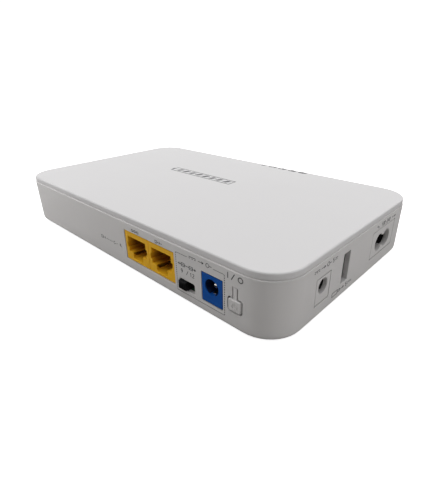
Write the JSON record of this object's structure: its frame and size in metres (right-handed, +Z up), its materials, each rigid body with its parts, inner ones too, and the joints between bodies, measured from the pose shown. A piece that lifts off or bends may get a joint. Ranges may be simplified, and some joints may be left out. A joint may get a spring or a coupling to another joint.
{
  "type": "router backup power supply",
  "caption": "Flat white backup supply for a router: network and power sockets, voltage selector and flex button around a battery pack and a board.",
  "frame": {"origin": "on the surface that the feet stand on, under the middle of the case", "axes": "+X along the case's width towards the side with the mains inlet, +Y away from the panel with the network sockets, +Z up"},
  "size_m": [0.18, 0.1092, 0.0272],
  "materials": {
    "white_plastic": "satin",
    "yellow_plastic": "satin",
    "blue_plastic": "satin",
    "black_plastic": "satin",
    "clear_plastic": "gloss",
    "board": "satin",
    "gold": "polished",
    "nickel": "polished",
    "steel": "satin",
    "cell_sleeve": "gloss",
    "red_sleeve": "satin",
    "ferrite": "matte",
    "tape": "satin",
    "rubber": "matte",
    "paper": "matte",
    "glass": "gloss"
  },
  "bodies": {
    "case": {"base_case": "white_plastic", "battery_cell_1": "cell_sleeve", "battery_cell_2": "cell_sleeve", "battery_cell_3": "cell_sleeve", "battery_cell_4": "cell_sleeve", "battery_header": "white_plastic", "battery_holder": "black_plastic", "battery_lead_black": "black_plastic", "battery_lead_red": "red_sleeve", "battery_plug": "white_plastic", "board_screw_1": "steel", "board_screw_2": "steel", "board_screw_3": "steel", "board_screw_4": "steel", "boost_inductor_12v": "ferrite", "boost_inductor_poe": "ferrite", "case_screw_1": "steel", "case_screw_2": "steel", "case_screw_3": "steel", "case_screw_4": "steel", "controller_chip": "black_plastic", "dc_jack_12v_housing": "blue_plastic", "dc_jack_12v_pin": "nickel", "dc_jack_12v_spring": "nickel", "dc_jack_5v_housing": "white_plastic", "dc_jack_5v_pin": "nickel", "dc_jack_5v_spring": "nickel", "indicator_strip": "board", "lan_contacts": "gold", "light_pipe": "clear_plastic", "main_board": "board", "mains_fuse": "glass", "mains_inlet_bezel": "white_plastic", "mains_inlet_core": "black_plastic", "mains_inlet_pin_1": "nickel", "mains_inlet_pin_2": "nickel", "network_jack_housing": "yellow_plastic", "network_transformer": "black_plastic", "nickel_strip_front": "nickel", "nickel_strip_rear": "nickel", "poe_contacts": "gold", "power_switch_body": "black_plastic", "rating_label": "paper", "reservoir_capacitor": "black_plastic", "reset_switch_body": "black_plastic", "rubber_foot_1": "rubber", "rubber_foot_2": "rubber", "rubber_foot_3": "rubber", "rubber_foot_4": "rubber", "selector_switch_body": "black_plastic", "top_cover": "white_plastic", "transformer_core": "ferrite", "transformer_winding": "tape", "usb_shell": "steel", "usb_tongue": "black_plastic"},
    "button": {"power_button": "white_plastic"},
    "power_plunger": {"power_plunger": "steel"},
    "reset_plunger": {"reset_plunger": "steel"},
    "selector": {"selector_lever": "black_plastic"}
  },
  "joints": [
    {"name": "button_press", "type": "hinge", "parent": "case", "child": "button", "pos_m": [0.07285, -0.0534, 0.0185], "axis": [1, 0, 0], "range_deg": [0, 4], "stiffness_Nm_per_rad": 0.09, "springref_deg": -1.15},
    {"name": "power_plunger_press", "type": "slide", "parent": "case", "child": "power_plunger", "axis": [0, 1, 0], "range_m": [0, 0.00025]},
    {"name": "reset_press", "type": "slide", "parent": "case", "child": "reset_plunger", "axis": [0, 1, 0], "range_m": [0, 0.00025], "stiffness_N_per_m": 800, "springref_m": -0.0003},
    {"name": "selector_slide", "type": "slide", "parent": "case", "child": "selector", "axis": [1, 0, 0], "range_m": [0, 0.0036]}
  ],
  "couplings": [
    {"joint": "power_plunger_press", "follows": "button_press", "m_per_rad": 0.0035}
  ]
}
